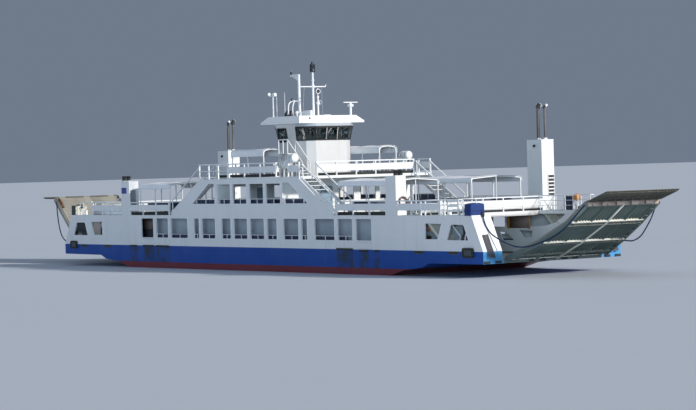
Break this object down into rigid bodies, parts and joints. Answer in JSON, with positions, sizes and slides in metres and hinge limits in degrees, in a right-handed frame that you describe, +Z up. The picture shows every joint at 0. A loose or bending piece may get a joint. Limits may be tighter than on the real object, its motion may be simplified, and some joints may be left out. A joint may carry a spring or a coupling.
{
  "type": "half-size scale model of a double-ended passenger and car ferry",
  "caption": "Double-ended ro-ro passenger ferry, half size: open car deck with a ramp at each end, side galleries, passenger decks, canopies, exhaust towers and a central wheelhouse.",
  "frame": {"origin": "on the waterline, amidships, on the centreline", "axes": "+X along the ship towards the lowered right-hand ramp, +Y to the side with the two tall exhaust towers, +Z up"},
  "size_m": [35.8615, 6.026, 9.505],
  "materials": {
    "door_paint": "satin",
    "white_paint": "satin",
    "deck_paint": "matte",
    "flap_paint": "matte",
    "hull_paint": "satin",
    "raft_shell": "gloss",
    "deck_green": "matte",
    "propeller_bronze": "polished",
    "ramp_paint": "matte",
    "thruster_paint": "satin"
  },
  "bodies": {
    "ship": {"cabin_walls": "white_paint", "canopy_far_left": "white_paint", "canopy_far_right": "white_paint", "canopy_near_left": "white_paint", "canopy_near_right": "white_paint", "car_deck": "deck_paint", "casing_end_far_left": "white_paint", "casing_end_far_right": "white_paint", "casing_end_near_left": "white_paint", "casing_end_near_right": "white_paint", "deck_bulwark_end_left": "white_paint", "deck_bulwark_end_right": "white_paint", "deck_bulwark_far_left": "white_paint", "deck_bulwark_far_right": "white_paint", "deck_bulwark_near_left": "white_paint", "deck_bulwark_near_right": "white_paint", "exhaust_tower_far_left": "white_paint", "exhaust_tower_far_right": "white_paint", "exhaust_tower_near_left": "white_paint", "exhaust_tower_near_right": "white_paint", "gallery_wall_far": "white_paint", "gallery_wall_near": "white_paint", "hull": "hull_paint", "lantern_mast": "white_paint", "liferafts_far": "raft_shell", "liferafts_near": "raft_shell", "passenger_deck": "deck_green", "pole_mast": "white_paint", "radar_post": "white_paint", "searchlight_mast": "white_paint", "side_wall_far": "white_paint", "side_wall_near": "white_paint", "stair_far_left": "white_paint", "stair_far_right": "white_paint", "stair_near_left": "white_paint", "stair_near_right": "white_paint", "top_bulwark_left": "white_paint", "top_bulwark_right": "white_paint", "top_canopy_left": "white_paint", "top_canopy_right": "white_paint", "top_deck": "deck_green", "wheelhouse": "white_paint", "wheelhouse_roof": "white_paint", "wheelhouse_stair": "white_paint", "wheelhouse_tower": "white_paint"},
    "cabin_door_left": {"cabin_door_left": "door_paint"},
    "cabin_door_right": {"cabin_door_right": "door_paint"},
    "flap_left": {"flap_left": "flap_paint"},
    "flap_right": {"flap_right": "flap_paint"},
    "gate_near_left": {"gate_near_left": "white_paint"},
    "gate_near_right": {"gate_near_right": "white_paint"},
    "propeller_left": {"propeller_left": "propeller_bronze"},
    "propeller_right": {"propeller_right": "propeller_bronze"},
    "radar_scanner": {"radar_scanner": "white_paint"},
    "ramp_left": {"ramp_left": "ramp_paint"},
    "ramp_right": {"ramp_right": "ramp_paint"},
    "thruster_left": {"thruster_left": "thruster_paint"},
    "thruster_right": {"thruster_right": "thruster_paint"},
    "tower_door": {"tower_door": "door_paint"}
  },
  "joints": [
    {"name": "ramp_right_hinge", "type": "hinge", "parent": "ship", "child": "ramp_right", "pos_m": [13.6, 0, 0.603], "axis": [0, -1, 0], "range_deg": [-36, 50]},
    {"name": "ramp_left_hinge", "type": "hinge", "parent": "ship", "child": "ramp_left", "pos_m": [-13.6, 0, 0.603], "axis": [0, 1, 0], "range_deg": [-41, 45]},
    {"name": "flap_right_hinge", "type": "hinge", "parent": "ramp_right", "child": "flap_right", "pos_m": [17.0392, 0, 2.4496], "axis": [0, -1, 0], "range_deg": [-28, 16]},
    {"name": "flap_left_hinge", "type": "hinge", "parent": "ramp_left", "child": "flap_left", "pos_m": [-16.8689, 0, 2.73662], "axis": [0, 1, 0], "range_deg": [-6, 38]},
    {"name": "gate_near_right_hinge", "type": "hinge", "parent": "ship", "child": "gate_near_right", "pos_m": [7.536, -3.016, 1], "axis": [0, 0, 1], "range_deg": [0, 100]},
    {"name": "gate_near_left_hinge", "type": "hinge", "parent": "ship", "child": "gate_near_left", "pos_m": [-7.536, -3.016, 1], "axis": [0, 0, -1], "range_deg": [0, 100]},
    {"name": "cabin_door_right_hinge", "type": "hinge", "parent": "ship", "child": "cabin_door_right", "pos_m": [2.142, -1.238, 2.56], "axis": [0, 0, -1], "range_deg": [0, 105]},
    {"name": "cabin_door_left_hinge", "type": "hinge", "parent": "ship", "child": "cabin_door_left", "pos_m": [-2.142, -1.238, 2.56], "axis": [0, 0, 1], "range_deg": [0, 105]},
    {"name": "tower_door_hinge", "type": "hinge", "parent": "ship", "child": "tower_door", "pos_m": [-0.456, 1.202, 3.93], "axis": [0, 0, 1], "range_deg": [0, 105]},
    {"name": "radar_turn", "type": "hinge", "parent": "ship", "child": "radar_scanner", "pos_m": [0.85, 1.17, 6.06], "axis": [0, 0, 1], "continuous": true},
    {"name": "thruster_right_steer", "type": "hinge", "parent": "ship", "child": "thruster_right", "pos_m": [5.2, 0, -0.91], "axis": [0, 0, 1], "continuous": true},
    {"name": "propeller_right_spin", "type": "hinge", "parent": "thruster_right", "child": "propeller_right", "pos_m": [5.5, 0, -1.42], "axis": [1, 0, 0], "continuous": true},
    {"name": "thruster_left_steer", "type": "hinge", "parent": "ship", "child": "thruster_left", "pos_m": [-5.2, 0, -0.91], "axis": [0, 0, 1], "continuous": true},
    {"name": "propeller_left_spin", "type": "hinge", "parent": "thruster_left", "child": "propeller_left", "pos_m": [-4.9, 0, -1.42], "axis": [1, 0, 0], "continuous": true}
  ]
}
